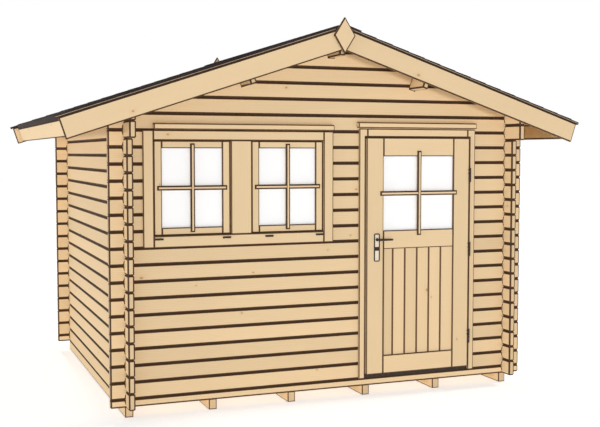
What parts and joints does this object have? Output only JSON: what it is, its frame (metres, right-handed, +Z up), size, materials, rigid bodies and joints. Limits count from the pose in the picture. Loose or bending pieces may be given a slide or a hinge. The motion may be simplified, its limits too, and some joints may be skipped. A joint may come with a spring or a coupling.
{
  "type": "garden house",
  "caption": "Log-built garden house with a low gable roof, overhanging barge boards, a double window and a half-glazed hinged door.",
  "frame": {"origin": "middle of the footprint at ground level, at the underside of the foundation bearers", "axes": "+Z up, -Y out of the front with the door and window, +X to the right seen from the front"},
  "size_m": [4.2068, 3.328, 2.9162],
  "materials": {
    "spruce": "planed, untreated",
    "joinery": "planed smooth",
    "roof_covering": "gritty bitumen felt",
    "glass": "clear",
    "dark_metal": "dark brown",
    "plate_metal": "brushed"
  },
  "bodies": {
    "house": {"foundation_bearers": "spruce", "floor_boards": "spruce", "front_sill_log": "spruce", "front_wall_lower": "spruce", "front_wall_left": "spruce", "front_wall_pier": "spruce", "front_wall_right": "spruce", "front_lintel_log": "spruce", "front_gable": "spruce", "rear_wall": "spruce", "rear_gable": "spruce", "left_wall": "spruce", "right_wall": "spruce", "left_eave_logs": "spruce", "right_eave_logs": "spruce", "ridge_purlin": "spruce", "left_purlin": "spruce", "right_purlin": "spruce", "roof_boards_left": "spruce", "roof_boards_right": "spruce", "roof_felt_left": "roof_covering", "roof_felt_right": "roof_covering", "front_barge_left": "joinery", "front_barge_right": "joinery", "rear_barge_left": "joinery", "rear_barge_right": "joinery", "left_fascia": "joinery", "right_fascia": "joinery", "front_finial": "joinery", "rear_finial": "joinery", "window_frame": "joinery", "window_drip": "joinery", "left_sash": "joinery", "right_sash": "joinery", "left_glass": "glass", "right_glass": "glass", "window_hinges": "dark_metal", "door_frame": "joinery", "door_drip": "joinery", "door_threshold": "dark_metal", "frame_hinges": "dark_metal"},
    "door": {"door_leaf": "joinery", "door_panel": "joinery", "door_glass": "glass", "leaf_hinges": "dark_metal", "handle_plates": "plate_metal", "lock_cylinder": "dark_metal"},
    "lever": {"door_lever": "dark_metal"}
  },
  "joints": [
    {"name": "door_hinge", "type": "hinge", "parent": "house", "child": "door", "pos_m": [1.20752, -1.438, 1.135], "axis": [0, 0, 1], "range_deg": [0, 140]},
    {"name": "lever_pivot", "type": "hinge", "parent": "door", "child": "lever", "pos_m": [0.37802, -1.41, 1.236], "axis": [0, 1, 0], "range_deg": [0, 40], "stiffness_Nm_per_rad": 1.5, "springref_deg": -40.11}
  ]
}
